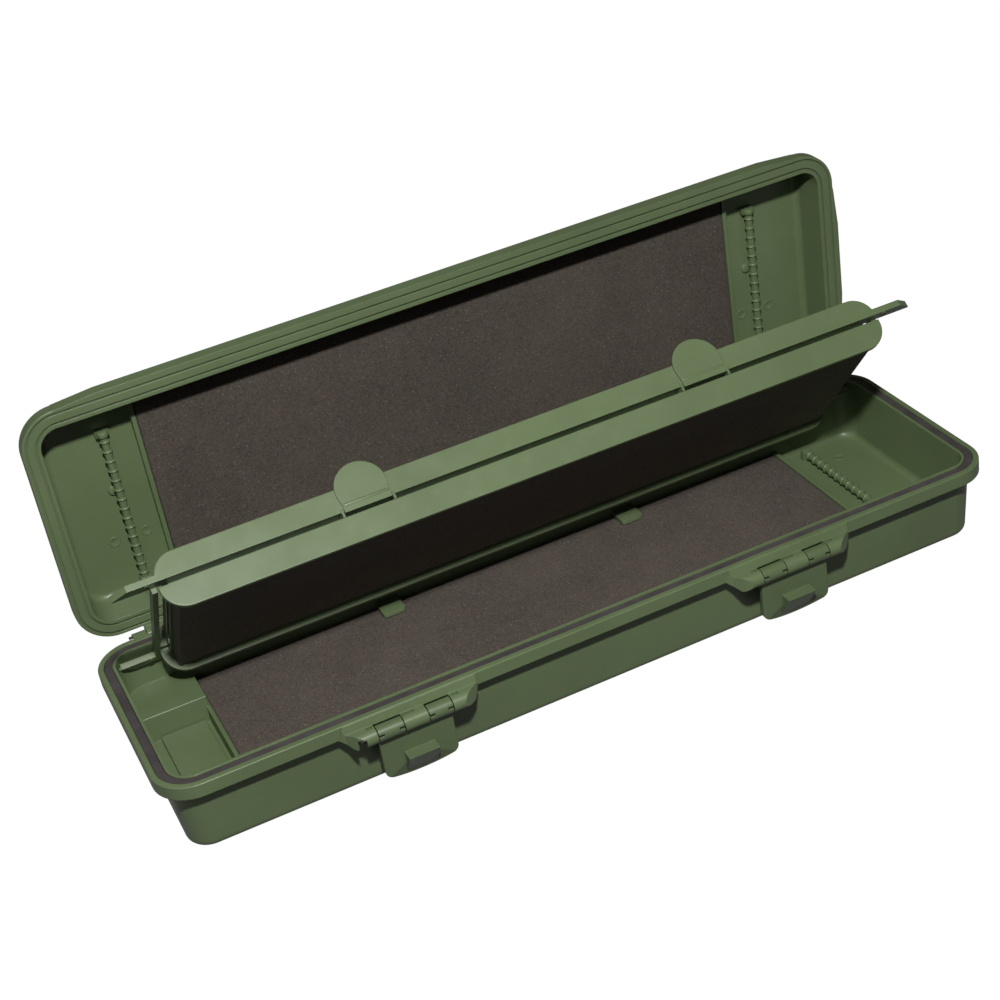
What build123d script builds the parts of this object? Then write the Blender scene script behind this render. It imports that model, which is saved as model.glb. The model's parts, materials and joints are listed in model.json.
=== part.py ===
from build123d import *
import os
from math import atan2, degrees, sqrt

os.makedirs("parts", exist_ok=True)

# Frame: origin at the centre of the underside, X along the box, Y from front to back, Z up.
# The lid and the flip board are drawn closed, then swung open to the pose of rest.
# Sizes are in millimetres and angles in degrees. A place at the left end is measured from the
# left end, one at the right end from the right end, and likewise for the front and the back.

# Outline shared by the base and the lid
box_length = 380.0
box_width = 110.0
rim_corner = 16.8
wall_inset = 4.8
wall_draft = 2.0
edge_round = 0.5

# Base shell
base_height = 37.0
flange_height = 6.0
apron_wall = 1.8
rim_plate = 2.5
foot_fillet = 4.0
foot_recess = 4.5
foot_width = 6.5
floor_thickness = 3.5
rim_width = 7.7
opening_corner = 8.5
cavity_draft = 1.2
cavity_fillet = 3.0
wall_bite = 1.0

# Seal in the rim of the base
seal_inset = 2.5
seal_width = 3.8
seal_height = 1.8
seal_sunk = 0.4
seal_clearance = 0.05

# Foam pads in the base and the lid, and the low ribs that hold their ends
foam_clearance = 0.4
base_foam_thickness = 5.0
base_foam_front_gap = 0.25
base_rib_left = 36.7
base_rib_right = 51.6
base_rib_thickness = 1.8
base_rib_height = 5.4
lid_foam_thickness = 4.0
lid_foam_front_gap = 5.0
lid_foam_back_gap = 1.5
lid_foam_heel = 2.0
lid_rib_left = 47.6
lid_rib_right = 50.5
lid_rib_thickness = 1.9
lid_rib_height = 4.2

# Clips on the back wall that hold the base foam down
clip_left = 128.8
clip_right = 132.5
clip_width = 10.5
clip_corner = 1.5
clip_reach = 12.5
clip_thickness = 1.8
clip_clearance = 0.3

# Left pocket: a raised shelf at the back and a loose plate in a well at the front
shelf_height = 10.7
shelf_depth = 32.4
well_left = 11.5
well_front = 11.0
well_depth = 2.0
plate_left = 14.8
plate_right = 34.8
plate_thickness = 2.0
plate_end_gap = 0.4
plate_corner = 1.5

# Ringed rods that the rig loops hook on, one in the base and two in the lid
base_rod_length = 74.0
lid_rod_length = 69.4
rod_diameter = 3.3
ring_diameter = 4.4
ring_width = 1.3
ring_pitch = 4.65
rod_floor_gap = 1.0
rod_tail_diameter = 2.2
rod_tail_length = 1.6
rod_tail_clearance = 0.05
post_width = 4.6
post_thickness = 2.6
post_cap = 0.8
rod_cap_diameter = 4.8
rod_cradle_width = 5.8
base_rod_from_right = 37.7
lid_rod_from_left = 34.6
lid_rod_from_right = 36.6
lid_rod_setback = 5.3

# Lid shell
lid_gap = 0.3
lid_height = 19.9
lid_top_thickness = 2.3
lid_top_fillet = 4.0
lid_rim_width = 7.85
lid_cavity_draft = 0.9
lid_cavity_fillet = 3.0
lid_open_angle = 90.0
rim_groove_inset = 1.3
rim_groove_width = 0.9
rim_groove_depth = 0.8
inner_groove_inset = 5.4
inner_groove_width = 0.8
ledge_proud = 1.5
ledge_taper = 18.0
ledge_end_gap = 17.0
ledge_side_front = 20.0
ledge_side_back = 18.0

# Rear hinges
hinge_behind = 2.89
hinge_below_rim = 2.56
hinge_start = 19.8
hinge_base_knuckle = 6.0
hinge_lid_knuckle = 14.0
knuckle_gap = 0.4
hinge_knuckle_radius = 2.6
hinge_pin_diameter = 2.4
hinge_pin_head = 1.5
hinge_pin_head_diameter = 3.6
hinge_clearance = 0.05
hinge_arm_thickness = 2.9

# Flip board: two foam-filled trays back to back on one pair of pivots
pivot_from_back = 11.0
pivot_below_rim = 4.8
board_front_gap = 10.25
board_open_angle = 50.45
board_left = 27.0
board_right = 28.0
tray_seam = 2.3
seam_offset = 0.35
seam_recess = 8.0
back_tray_depth = 10.1
front_tray_depth = 11.4
tray_web = 1.6
tray_wall = 2.0
tray_corner = 10.5
tray_edge_round = 0.4
tray_end_gap = 4.0
board_heel = 4.4
board_foam_end_gap = 1.0
front_foam_thickness = 7.0
back_foam_thickness = 6.8
board_foam_clearance = 0.3
ear_tip = 9.4
ear_width = 6.0
ear_thickness = 2.8
ear_slant = 6.0
end_bar_width = 2.2
pivot_ear_root = 12.0
pivot_ear_tip = 9.8
pivot_ear_before = 3.0
pivot_ear_behind = 2.5
pivot_ear_below = 1.4
pivot_ear_above = 1.2
pivot_ear_nose = 0.6
pivot_ear_slant = 5.6
pivot_pin_diameter = 1.6
pivot_pin_depth = 2.7
pivot_pin_reach = 4.0
pivot_clearance = 0.05

# Thumb tabs clipped into the seam of the board's free edge
tab_from_left = 114.9
tab_from_right = 112.7
tab_radius = 10.8
tab_neck = 10.1
tab_height = 18.0
tab_start = 2.3
tab_thickness = 1.1
tab_foot_thickness = 0.85
tab_foot_depth = 2.4
tab_lug_width = 1.0
tab_lug_gap = 0.3

# Latches, shown hanging open on brackets at the front of the base
latch_from_left = 101.3
latch_from_right = 105.1
latch_width = 31.6
latch_pin_forward = 4.0
latch_pin_below_rim = 6.8
latch_barrel_radius = 3.4
latch_pin_diameter = 2.0
latch_clearance = 0.05
latch_plate_thickness = 2.4
latch_plate_start = 3.9
latch_drop = 26.3
latch_corner = 3.4
latch_bow = 4.3
latch_tip_curl = 2.6
latch_edge_round = 0.4
latch_scoop_radius = 64.6
catch_clearance = 0.15
catch_width = 13.4
catch_depth = 5.3
catch_lip = 0.6
catch_foot_rise = 0.9
scoop_below_catch = 4.1
latch_knuckles = ((-15.8, -5.0), (5.8, 15.8))
latch_knuckle_gap = 0.4
knuckle_notch_width = 2.2
knuckle_notch_low = -0.1
knuckle_notch_high = 1.2
knuckle_notch_depth = 1.5
bracket_ends = (-30.2, 29.0)
bracket_right_low = 26.4
bracket_fin = (-27.5, -24.2)
bracket_barrel = (-21.0, 21.0)
bracket_top_drop = 0.4
bracket_proud = 0.3
bracket_flare = 1.2
bracket_ledge_drop = 3.7
bracket_lip_drop = 4.1
bracket_room = 0.35
bracket_windows = ((-19.2, -16.9), (-4.2, 0.8), (16.9, 19.9))
window_front = 0.5
window_depth = 1.9
window_floor = 1.7
latch_pin_start = 23.0

# Levels and places worked out from the sizes
floor_level = foot_recess + floor_thickness
rim_level = base_height
flange_bottom = rim_level - flange_height
lid_rim_level = rim_level + lid_gap
lid_top = lid_rim_level + lid_height
lid_ceiling = lid_top - lid_top_thickness
front = -box_width / 2
back = box_width / 2
hinge_y = back + hinge_behind
hinge_z = rim_level - hinge_below_rim
pivot_y = back - pivot_from_back
pivot_z = rim_level - pivot_below_rim
free_edge_y = front + board_front_gap
heel_y = pivot_y - board_heel
seam_top = pivot_z - seam_offset + tray_seam / 2
seam_bottom = seam_top - tray_seam
latch_y = front - latch_pin_forward
latch_z = rim_level - latch_pin_below_rim
catch_drop = latch_pin_below_rim + lid_gap + flange_height + catch_clearance
latch_rooms = [(x0 - latch_knuckle_gap, x1 + latch_knuckle_gap) for x0, x1 in latch_knuckles]


def from_left(distance):
    return distance - box_length / 2


def from_right(distance):
    return box_length / 2 - distance


def from_front(distance):
    return distance - box_width / 2


board_x0 = from_left(board_left)
board_x1 = from_right(board_right)
latch_places = (from_left(latch_from_left), from_right(latch_from_right))
tab_places = (from_left(tab_from_left), from_right(tab_from_right))
clip_places = (from_left(clip_left), from_right(clip_right))
lid_rod_places = (from_left(lid_rod_from_left), from_right(lid_rod_from_right))
base_rib_places = (from_left(base_rib_left), from_right(base_rib_right))
lid_rib_places = (from_left(lid_rib_left), from_right(lid_rib_right))
shelf_y = back - shelf_depth


def box_between(x0, x1, y0, y1, z0, z1):
    middle = Pos((x0 + x1) / 2, (y0 + y1) / 2, (z0 + z1) / 2)
    return middle * Box(x1 - x0, y1 - y0, z1 - z0)


def rim_outline(inset, corner=None):
    radius = rim_corner - inset if corner is None else corner
    return RectangleRounded(box_length - 2 * inset, box_width - 2 * inset, radius)


def rim_block(inset, low, high, corner=None):
    return Pos(0, 0, low) * extrude(rim_outline(inset, corner), high - low)


def drafted_block(low_inset, high_inset, low, high, low_corner, high_corner):
    bottom = Pos(0, 0, low) * rim_outline(low_inset, low_corner)
    top = Pos(0, 0, high) * rim_outline(high_inset, high_corner)
    return loft([bottom, top], ruled=True)


def rim_ring(inset, width, low, high):
    return rim_block(inset, low, high) - rim_block(inset + width, low, high)


def rod_along_x(y, z, x0, x1, radius):
    return Pos((x0 + x1) / 2, y, z) * Rot(0, 90, 0) * Cylinder(radius, x1 - x0)


def bottom_edges(solid):
    return solid.faces().sort_by(Axis.Z)[0].edges()


def top_edges(solid):
    return solid.faces().sort_by(Axis.Z)[-1].edges()


def swung_open(solid, y, z, angle):
    return solid.rotate(Axis((0, y, z), (1, 0, 0)), -angle)


def open_lid(solid):
    return swung_open(solid, hinge_y, hinge_z, lid_open_angle)


def open_board(solid):
    return swung_open(solid, pivot_y, pivot_z, board_open_angle)


def rod_axis_height():
    return rod_floor_gap + ring_diameter / 2


def ringed_rod(rod_length, capped=False):
    """A rod along Y, centred on the origin, with rings at an even pitch and a tail or a cap at each end."""
    half = rod_length / 2
    rod = Rot(90, 0, 0) * Cylinder(rod_diameter / 2, rod_length)
    rod += Rot(90, 0, 0) * Cylinder(rod_tail_diameter / 2, rod_length + 2 * rod_tail_length)
    count = int((rod_length - ring_width) / ring_pitch)
    first = -count * ring_pitch / 2
    for i in range(count + 1):
        ring = Cylinder(ring_diameter / 2, ring_width)
        ring = fillet(ring.edges().filter_by(GeomType.CIRCLE), edge_round)
        rod += Pos(0, first + i * ring_pitch, 0) * Rot(90, 0, 0) * ring
    if capped:
        cap = Cylinder(rod_cap_diameter / 2, post_thickness)
        cap = fillet(cap.edges().filter_by(GeomType.CIRCLE), edge_round)
        rod += Pos(0, -(rod_length + post_thickness) / 2, 0) * Rot(90, 0, 0) * cap
    return rod


def rod_posts(rod_length, floor_z, up):
    """The two posts that carry a rod's tails, on a floor at floor_z, standing up or hanging down."""
    posts = [rod_post(rod_length, floor_z, up, side) for side in (-1, 1)]
    tail = rod_tail_diameter / 2 + rod_tail_clearance
    bore = Pos(0, 0, floor_z + up * rod_axis_height()) * Rot(90, 0, 0)
    bore = bore * Cylinder(tail, rod_length + 2 * (rod_tail_length + rod_tail_clearance))
    return [post - bore for post in posts]


def rod_post(rod_length, floor_z, up, side):
    height = rod_axis_height() + rod_tail_diameter / 2 + post_cap
    low = floor_z if up > 0 else floor_z - height
    near = side * rod_length / 2
    far = near + side * post_thickness
    return box_between(-post_width / 2, post_width / 2, min(near, far), max(near, far), low, low + height)


def rod_cradle(floor_z):
    """A low cradle hanging from floor_z, half round the cap of a lid rod."""
    half = rod_cradle_width / 2
    near = -lid_rod_length / 2
    axis_z = floor_z - rod_axis_height()
    cradle = box_between(-half, half, near - post_thickness, near, axis_z, floor_z)
    room = Cylinder(rod_cap_diameter / 2 + rod_tail_clearance, 4 * post_thickness)
    return cradle - Pos(0, near, axis_z) * Rot(90, 0, 0) * room


def make_base_shell():
    wall = drafted_block(wall_inset + wall_draft, wall_inset, 0, flange_bottom,
                         rim_corner - wall_inset - wall_draft, rim_corner - wall_inset)
    wall = fillet(bottom_edges(wall), foot_fillet)
    flange = rim_block(0, flange_bottom, rim_level)
    flange = fillet(top_edges(flange), edge_round)
    shell = wall + flange
    cavity = drafted_block(rim_width + cavity_draft, rim_width, floor_level, rim_level,
                           opening_corner - cavity_draft / 2, opening_corner)
    cavity = fillet(bottom_edges(cavity), cavity_fillet)
    shell -= cavity
    shell -= rim_block(apron_wall, flange_bottom, rim_level - rim_plate) - drafted_block(
        wall_inset + wall_draft, wall_inset, 0, flange_bottom,
        rim_corner - wall_inset - wall_draft, rim_corner - wall_inset) - rim_block(
        wall_inset, flange_bottom, rim_level)
    foot_inset = wall_inset + wall_draft + foot_width
    shell -= rim_block(foot_inset, 0, foot_recess, opening_corner)
    shell -= rim_ring(seal_inset, seal_width, rim_level - seal_sunk - seal_height, rim_level)

    # Ribs, shelf and well, each reaching into the wall by half its thickness
    reach_in = rim_width + cavity_draft - wall_bite
    under_floor = floor_level - wall_bite
    rib_front = from_front(reach_in)
    for x0 in base_rib_places:
        shell += box_between(x0, x0 + base_rib_thickness, rib_front, -rib_front,
                             under_floor, floor_level + base_rib_height)
    shelf = box_between(from_left(reach_in), base_rib_places[0] + base_rib_thickness / 2,
                        shelf_y, back - reach_in, under_floor, floor_level + shelf_height)
    shelf = fillet(shelf.edges().filter_by(Axis.X).group_by(Axis.Y)[0].sort_by(Axis.Z)[-1], edge_round)
    shell += shelf & rim_block(reach_in, under_floor, rim_level, opening_corner - wall_bite)
    shell -= box_between(from_left(well_left), base_rib_places[0], from_front(well_front),
                         shelf_y, floor_level - well_depth, floor_level + wall_bite)

    for x in clip_places:
        low = floor_level + base_foam_thickness + clip_clearance
        clip = box_between(x - clip_width / 2, x + clip_width / 2, back - rim_width - clip_reach,
                           back - rim_width + wall_bite, low, low + clip_thickness)
        shell += fillet(clip.edges().filter_by(Axis.Z).group_by(Axis.Y)[0], clip_corner)

    for post in rod_posts(base_rod_length, floor_level, 1):
        shell += Pos(from_right(base_rod_from_right), 0, 0) * post

    shell = add_hinge_knuckles(shell)
    shell = add_pivot_sockets(shell)
    shell += latch_bracket(latch_places[0], True)
    shell += latch_bracket(latch_places[1], False)
    return shell


def hinge_spans():
    """Where each hinge's outer, lid and inner knuckles lie, from the left end, for both hinges."""
    a = hinge_start
    b = a + hinge_base_knuckle
    c = b + knuckle_gap
    d = c + hinge_lid_knuckle
    e = d + knuckle_gap
    f = e + hinge_base_knuckle
    left = {"outer": (a, b), "lid": (c, d), "inner": (e, f)}
    right = {key: (box_length - hi, box_length - lo) for key, (lo, hi) in left.items()}
    return {"left": left, "right": right}


def hinge_bore(span):
    return rod_along_x(hinge_y, hinge_z, from_left(span[0]) - 1, from_left(span[1]) + 1,
                       hinge_pin_diameter / 2 + hinge_clearance)


def add_hinge_knuckles(shell):
    for spans in hinge_spans().values():
        for key in ("outer", "inner"):
            x0, x1 = (from_left(v) for v in spans[key])
            knuckle = rod_along_x(hinge_y, hinge_z, x0, x1, hinge_knuckle_radius)
            arm = box_between(x0, x1, back - 0.8, hinge_y, hinge_z - hinge_knuckle_radius,
                              hinge_z + hinge_knuckle_radius)
            shell += (knuckle + arm) - hinge_bore(spans[key])
    return shell


def add_pivot_sockets(shell):
    for side in (-1, 1):
        inner = side * (box_length / 2 - pivot_pin_inner())
        outer = side * (box_length / 2 - pivot_pin_outer())
        shell -= rod_along_x(pivot_y, pivot_z, min(inner, outer), max(inner, outer),
                             pivot_pin_diameter / 2 + pivot_clearance)
    return shell


def side_wall_at_pivot():
    """Distance from the box's end to the inner face of the side wall, in line with the pivots."""
    into_corner = max(rim_width + opening_corner - pivot_from_back, 0.0)
    bulge = opening_corner - sqrt(opening_corner ** 2 - into_corner ** 2)
    return rim_width + bulge


def pivot_pin_outer():
    return side_wall_at_pivot() - pivot_pin_depth


def pivot_pin_inner():
    return pivot_ear_tip + pivot_pin_reach + pivot_ear_slant / 2


def latch_bracket(x, notched):
    """The bracket that carries a latch: it flares from the rim to a ledge and three barrels."""
    left, right = bracket_ends
    fin_top, fin_low = bracket_fin
    barrel_left, barrel_right = bracket_barrel
    top = rim_level - bracket_top_drop
    low = latch_z - latch_barrel_radius
    inside = front + apron_wall / 2
    face = front - bracket_proud
    lip = front - bracket_flare
    far = latch_y - latch_barrel_radius - 0.1
    side_view = Polyline((inside, top), (face, top), (lip, rim_level - bracket_ledge_drop),
                         (latch_y, latch_z + latch_barrel_radius), (latch_y, low), (inside, low), close=True)
    body = Pos(x + left, 0, 0) * extrude(Plane.YZ * make_face(side_view), right - left)
    body += rod_along_x(latch_y, latch_z, x + left, x + right, latch_barrel_radius)

    # Seen from above and from the front, the ends taper back to the apron
    plan = Polyline((left, inside), (left, front), (fin_top, face - 1.0), (fin_low, latch_y - 1.5),
                    (barrel_left, far), (barrel_right, far), (right, lip), (right, inside), close=True)
    body &= Pos(x, 0, low - 1) * extrude(make_face(plan), top - low + 2)
    front_view = Polyline((left, flange_bottom), (fin_top, top + 1), (right, top + 1), (right, flange_bottom),
                          (bracket_right_low, low - 1), (fin_low, low - 1), close=True)
    plane = Plane((x, inside + 1, 0), x_dir=(1, 0, 0), z_dir=(0, -1, 0))
    body &= extrude(plane * make_face(front_view), inside + 2 - far)

    # Room for the latch's own barrels and for its plate, and the pin's bore
    for x0, x1 in latch_rooms:
        body -= rod_along_x(latch_y, latch_z, x + x0, x + x1, latch_barrel_radius + bracket_room)
        body -= box_between(x + x0, x + x1, far - 1, inside + 1, low - 1, flange_bottom)
        body -= box_between(x + x0, x + x1, far - 1, lip, low - 1, top + 1)
        body -= box_between(x + x0, x + x1, far - 1, front, low - 1, rim_level - bracket_lip_drop)
    for x0, x1 in bracket_windows:
        body -= box_between(x + x0, x + x1, latch_y + window_front, latch_y + window_front + window_depth,
                            latch_z + window_floor, top + 1)
    if notched:
        body -= box_between(x + fin_low, x + barrel_left, far - 1, latch_y + latch_pin_diameter / 2 + 0.3,
                            low - 1, latch_z + latch_pin_diameter / 2 + 0.4)
    return body - rod_along_x(latch_y, latch_z, x - latch_pin_start, x + barrel_right - 0.5,
                              latch_pin_diameter / 2 + latch_clearance)


def make_rim_seal():
    low = rim_level - seal_sunk - seal_height
    outer = seal_inset + seal_clearance
    seal = rim_ring(outer, seal_width - 2 * seal_clearance, low, low + seal_height)
    return fillet(top_edges(seal), edge_round)


def make_base_foam():
    x0 = base_rib_places[0] + base_rib_thickness + foam_clearance
    x1 = base_rib_places[1] - foam_clearance
    y_edge = box_width / 2 - rim_width - cavity_draft - base_foam_front_gap
    top = floor_level + base_foam_thickness
    foam = box_between(x0, x1, -y_edge, y_edge, floor_level, top)
    foam = fillet(foam.faces().sort_by(Axis.Z)[0].edges().filter_by(Axis.X), cavity_fillet)
    return fillet(top_edges(foam), edge_round)


def make_pocket_plate():
    low = floor_level - well_depth
    plate = box_between(from_left(plate_left), from_left(plate_right), from_front(well_front) + plate_end_gap,
                        shelf_y - plate_end_gap, low, low + plate_thickness)
    plate = fillet(plate.edges().filter_by(Axis.Z), plate_corner)
    return fillet(top_edges(plate), edge_round)


def make_base_rod():
    place = Pos(from_right(base_rod_from_right), 0, floor_level + rod_axis_height())
    return place * ringed_rod(base_rod_length)


def make_lid_rod(x):
    place = Pos(x, lid_rod_setback, lid_ceiling - rod_axis_height())
    return open_lid(place * ringed_rod(lid_rod_length, capped=True))


def front_ledge():
    """The ledge along the lid's front flange that the catches hook over, fading out at its ends."""
    x0, x1 = from_left(ledge_end_gap), from_right(ledge_end_gap)
    outer = front - ledge_proud
    plan = Polyline((x0, front + wall_bite), (x0, front), (x0 + ledge_taper, outer), (x1 - ledge_taper, outer),
                    (x1, front), (x1, front + wall_bite), close=True)
    return Pos(0, 0, lid_rim_level) * extrude(make_face(plan), flange_height)


def side_ledge():
    y0, y1 = from_front(ledge_side_front), back - ledge_side_back
    end = box_length / 2
    outer = end + ledge_proud
    plan = Polyline((end - wall_bite, y0), (end, y0), (outer, y0 + ledge_taper), (outer, y1 - ledge_taper),
                    (end, y1), (end - wall_bite, y1), close=True)
    return Pos(0, 0, lid_rim_level) * extrude(make_face(plan), flange_height)


def make_lid_shell():
    wall = drafted_block(wall_inset, wall_inset + wall_draft, lid_rim_level, lid_top,
                         rim_corner - wall_inset, rim_corner - wall_inset - wall_draft)
    wall = fillet(top_edges(wall), lid_top_fillet)
    flange = rim_block(0, lid_rim_level, lid_rim_level + flange_height)
    flange = fillet(bottom_edges(flange), edge_round)
    flange = fillet(top_edges(flange), edge_round)
    shell = wall + flange + front_ledge() + side_ledge()
    cavity = drafted_block(lid_rim_width, lid_rim_width + lid_cavity_draft, lid_rim_level, lid_ceiling,
                           opening_corner, opening_corner - lid_cavity_draft / 2)
    cavity = fillet(top_edges(cavity), lid_cavity_fillet)
    shell -= cavity
    shell -= rim_ring(rim_groove_inset, rim_groove_width, lid_rim_level, lid_rim_level + rim_groove_depth)
    shell -= rim_ring(inner_groove_inset, inner_groove_width, lid_rim_level, lid_rim_level + rim_groove_depth)

    rib_y = box_width / 2 - lid_rim_width - lid_cavity_draft + wall_bite
    for x0 in lid_rib_places:
        shell += box_between(x0, x0 + lid_rib_thickness, -rib_y, rib_y,
                             lid_ceiling - lid_rib_height, lid_ceiling + wall_bite)
    for x in lid_rod_places:
        shell += Pos(x, lid_rod_setback, 0) * rod_cradle(lid_ceiling)
        shell += Pos(x, lid_rod_setback, 0) * rod_posts(lid_rod_length, lid_ceiling, -1)[1]

    for spans in hinge_spans().values():
        x0, x1 = (from_left(v) for v in spans["lid"])
        knuckle = rod_along_x(hinge_y, hinge_z, x0, x1, hinge_knuckle_radius)
        near = hinge_y - hinge_knuckle_radius
        far = hinge_y + hinge_knuckle_radius
        riser = box_between(x0, x1, near, far, hinge_z, lid_rim_level + hinge_arm_thickness)
        bridge = box_between(x0, x1, back - wall_bite, far, lid_rim_level, lid_rim_level + hinge_arm_thickness)
        shell += (knuckle + riser + bridge) - hinge_bore(spans["lid"])
    return open_lid(shell)


def make_lid_foam():
    x0 = lid_rib_places[0] + lid_rib_thickness + foam_clearance
    x1 = lid_rib_places[1] - foam_clearance
    y_front = from_front(lid_rim_width + lid_cavity_draft + lid_foam_front_gap)
    y_back = back - lid_rim_width - lid_cavity_draft - lid_foam_back_gap
    low = lid_ceiling - lid_foam_thickness
    foam = box_between(x0, x1, y_front, y_back, low, lid_ceiling)
    foam = fillet(top_edges(foam).filter_by(Axis.X).sort_by(Axis.Y)[-1], lid_foam_heel)
    return open_lid(fillet(bottom_edges(foam), edge_round))


def make_hinge_pin(side):
    spans = hinge_spans()[side]
    x0 = from_left(min(v[0] for v in spans.values()))
    x1 = from_left(max(v[1] for v in spans.values()))
    pin = rod_along_x(hinge_y, hinge_z, x0, x1, hinge_pin_diameter / 2)
    if side == "left":
        head = rod_along_x(hinge_y, hinge_z, x0 - hinge_pin_head, x0, hinge_pin_head_diameter / 2)
    else:
        head = rod_along_x(hinge_y, hinge_z, x1, x1 + hinge_pin_head, hinge_pin_head_diameter / 2)
    return pin + head


def make_board_tray(seam_z, away, depth):
    """A shallow tray open away from the seam: a web with a long wall at the free edge and at the heel."""
    x0, x1 = board_x0, board_x1
    far_z = seam_z + away * depth
    low, high = min(seam_z, far_z), max(seam_z, far_z)
    tray = box_between(x0, x1, free_edge_y, free_edge_y + tray_wall, low, high)
    tray += box_between(x0, x1, heel_y - tray_wall, heel_y, low, high)
    far_corners = [e for e in tray.edges().filter_by(Axis.Y) if abs(e.center().Z - far_z) < 0.01]
    tray = fillet(far_corners, min(tray_corner, depth - 0.5))
    tray = fillet(tray.faces().sort_by(Axis.Y)[0].edges(), tray_edge_round)
    web_z = seam_z + away * tray_web
    tray += box_between(x0 + tray_end_gap, x1 - tray_end_gap, free_edge_y, heel_y,
                        min(seam_z, web_z), max(seam_z, web_z))
    return tray


def flat_strip(plan, side, low, high):
    """A flat strip from a plan drawn for the right-hand end, or its mirror image at the left."""
    outline = Polyline(*[(side * x, y) for x, y in plan], close=True)
    return Pos(0, 0, low) * extrude(make_face(outline), high - low)


def front_ear(side):
    """A flat ear at the free edge, with its tip cut at a slant."""
    tip = box_length / 2 - ear_tip
    root = abs(board_x0 if side < 0 else board_x1) - tray_end_gap - board_foam_end_gap / 2
    y0 = free_edge_y
    y1 = free_edge_y + ear_width
    plan = ((root, y0), (tip - ear_slant, y0), (tip, y1 - 0.8), (tip, y1), (root, y1))
    return flat_strip(plan, side, seam_top, seam_top + ear_thickness)


def pivot_ear(side):
    """The flat ear in line with a pivot, tapered to stay clear of the rounded corner, and its bridge."""
    tip = box_length / 2 - pivot_ear_tip
    root = abs(board_x0 if side < 0 else board_x1) - pivot_ear_root
    y0 = pivot_y - pivot_ear_before
    y1 = pivot_y + pivot_ear_behind
    low = pivot_z - pivot_ear_below
    high = pivot_z + pivot_ear_above
    plan = ((root, y0), (tip, y0), (tip, y0 + pivot_ear_nose), (tip - pivot_ear_slant, y1), (root, y1))
    strip = flat_strip(plan, side, low, high)
    bridge_end = root + pivot_ear_root - tray_end_gap
    bridge = ((root, heel_y - seam_recess - wall_bite), (bridge_end, heel_y - seam_recess - wall_bite),
              (bridge_end, y0 + wall_bite), (root, y0 + wall_bite))
    return strip + flat_strip(bridge, side, low, seam_top)


def make_end_bar(side):
    """The bar just beyond the board's end, from one of its ears to the other."""
    near = abs(board_x0 if side < 0 else board_x1)
    far = near + end_bar_width
    y0 = free_edge_y + ear_width
    y1 = pivot_y - pivot_ear_before
    return open_board(flat_strip(((near, y0), (far, y0), (far, y1), (near, y1)), side,
                                 pivot_z - pivot_ear_below, seam_top + tray_web))


def make_board_back_tray():
    tray = make_board_tray(seam_top, 1, back_tray_depth)
    core_end = tray_end_gap + board_foam_end_gap
    tray += box_between(board_x0 + core_end, board_x1 - core_end, free_edge_y + seam_recess,
                        heel_y - seam_recess, seam_bottom, seam_top + tray_web / 2)
    for side in (-1, 1):
        tray += front_ear(side)
        tray += pivot_ear(side)
        inner = side * (box_length / 2 - pivot_pin_inner() - 0.3)
        outer = side * box_length / 2
        tray -= rod_along_x(pivot_y, pivot_z, min(inner, outer), max(inner, outer),
                            pivot_pin_diameter / 2 + pivot_clearance)
    for x in tab_places:
        for side in (-1, 1):
            near = x + side * (tab_neck + tab_lug_gap)
            far = near + side * tab_lug_width
            tray += box_between(min(near, far), max(near, far), free_edge_y - 0.4, free_edge_y + seam_recess,
                                seam_bottom, seam_top + 1.0)
    return open_board(tray)


def make_board_front_tray():
    return open_board(make_board_tray(seam_bottom, -1, front_tray_depth))


def make_board_foam(seam_z, away, thickness):
    near = seam_z + away * tray_web
    far = near + away * thickness
    gap = board_foam_clearance
    end = tray_end_gap + board_foam_end_gap
    foam = box_between(board_x0 + end, board_x1 - end,
                       free_edge_y + tray_wall + gap, heel_y - tray_wall - gap, min(near, far), max(near, far))
    return open_board(foam)


def make_thumb_tab(x):
    """A round-topped tab lying on the board's free edge, with a foot that clips into the seam."""
    base_z = seam_top + tab_start
    shoulder = seam_top + tab_height - tab_radius
    outline = Polyline((x - tab_neck, base_z), (x - tab_radius, shoulder))
    outline += ThreePointArc((x - tab_radius, shoulder), (x, seam_top + tab_height), (x + tab_radius, shoulder))
    outline += Polyline((x + tab_radius, shoulder), (x + tab_neck, base_z), (x - tab_neck, base_z))
    outer = free_edge_y - tab_thickness
    plane = Plane((0, free_edge_y, 0), x_dir=(1, 0, 0), z_dir=(0, -1, 0))
    tab = extrude(plane * make_face(outline), tab_thickness)
    tab += box_between(x - tab_neck, x + tab_neck, outer, free_edge_y, seam_top - tab_foot_thickness, base_z)
    tab += box_between(x - tab_neck, x + tab_neck, outer, free_edge_y + tab_foot_depth,
                       seam_top - tab_foot_thickness, seam_top)
    return open_board(tab)


def make_pivot_pin(side):
    ends = sorted((side * (box_length / 2 - pivot_pin_outer()), side * (box_length / 2 - pivot_pin_inner())))
    return rod_along_x(pivot_y, pivot_z, ends[0], ends[1], pivot_pin_diameter / 2)


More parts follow.
